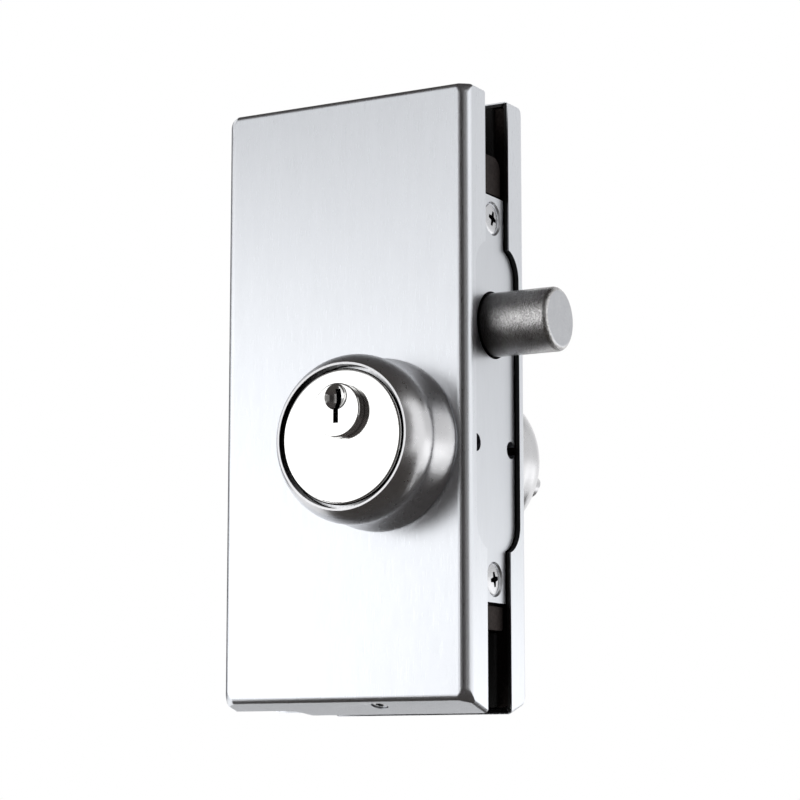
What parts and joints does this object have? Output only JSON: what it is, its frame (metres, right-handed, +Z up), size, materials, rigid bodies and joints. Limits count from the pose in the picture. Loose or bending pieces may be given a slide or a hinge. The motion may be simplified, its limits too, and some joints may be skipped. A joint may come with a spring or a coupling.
{
  "type": "glass door center lock",
  "caption": "Center lock for a frameless glass door: two stainless covers over a clamped case with a round deadbolt, keyed cylinder and thumb-turn.",
  "frame": {"origin": "middle of the glass slot, level with the middle of the forend and halfway across the covers", "axes": "+X towards the bolt's thrown end, +Y through the glass from the key side to the thumb-turn side, +Z up"},
  "size_m": [0.0946, 0.0891, 0.1661],
  "materials": {
    "brushed_stainless": "satin, brushed along the height",
    "satin_forend": "satin, brushed along the height",
    "polished_nickel": "polished",
    "satin_collar": "satin, turned",
    "cast_bolt": "matt cast grey",
    "cast_case": "dark cast",
    "cast_plate": "dark cast",
    "gasket": "matt black",
    "sleeve": "matt nylon",
    "brass": "plain brass",
    "zinc_screw": "zinc plated",
    "black_screw": "black oxide",
    "spring_steel": "plain spring steel"
  },
  "bodies": {
    "lock": {"front_cover": "brushed_stainless", "back_cover": "brushed_stainless", "front_clamp_plate": "cast_plate", "back_clamp_plate": "cast_plate", "front_gasket": "gasket", "back_gasket": "gasket", "clamp_screws": "zinc_screw", "clamp_sleeves": "sleeve", "cover_screws": "zinc_screw", "lock_case": "cast_case", "case_lid": "cast_case", "lid_screws": "zinc_screw", "forend": "satin_forend", "forend_screws": "zinc_screw", "cylinder_screws": "black_screw", "friction_spring": "spring_steel", "front_cylinder": "polished_nickel", "driver_pins": "brass", "pin_springs": "spring_steel", "front_collar": "satin_collar", "front_collar_ring": "zinc_screw", "front_collar_spring": "spring_steel", "back_cylinder": "polished_nickel", "back_collar": "satin_collar", "back_collar_ring": "zinc_screw", "back_collar_spring": "spring_steel"},
    "bolt": {"deadbolt": "cast_bolt", "bolt_tail": "zinc_screw", "tail_screw": "zinc_screw"},
    "key_plug": {"key_plug": "polished_nickel", "key_pins": "brass", "front_cam": "brass", "front_cam_screws": "zinc_screw"},
    "thumb_turn": {"turn_plug": "polished_nickel", "thumb_turn": "satin_collar", "turn_screw": "zinc_screw", "back_cam": "brass", "back_cam_screws": "zinc_screw"}
  },
  "joints": [
    {"name": "bolt_throw", "type": "slide", "parent": "lock", "child": "bolt", "axis": [-1, 0, 0], "range_m": [0, 0.02]},
    {"name": "thumb_turn_turn", "type": "hinge", "parent": "lock", "child": "thumb_turn", "pos_m": [0.0116, 0, -0.0067], "axis": [0, -1, 0], "range_deg": [0, 90]},
    {"name": "key_plug_turn", "type": "hinge", "parent": "lock", "child": "key_plug", "pos_m": [0.0116, 0, -0.0067], "axis": [0, -1, 0], "range_deg": [0, 90]}
  ],
  "couplings": [
    {"joint": "thumb_turn_turn", "follows": "bolt_throw", "rad_per_m": 78.54},
    {"joint": "key_plug_turn", "follows": "bolt_throw", "rad_per_m": 78.54}
  ]
}
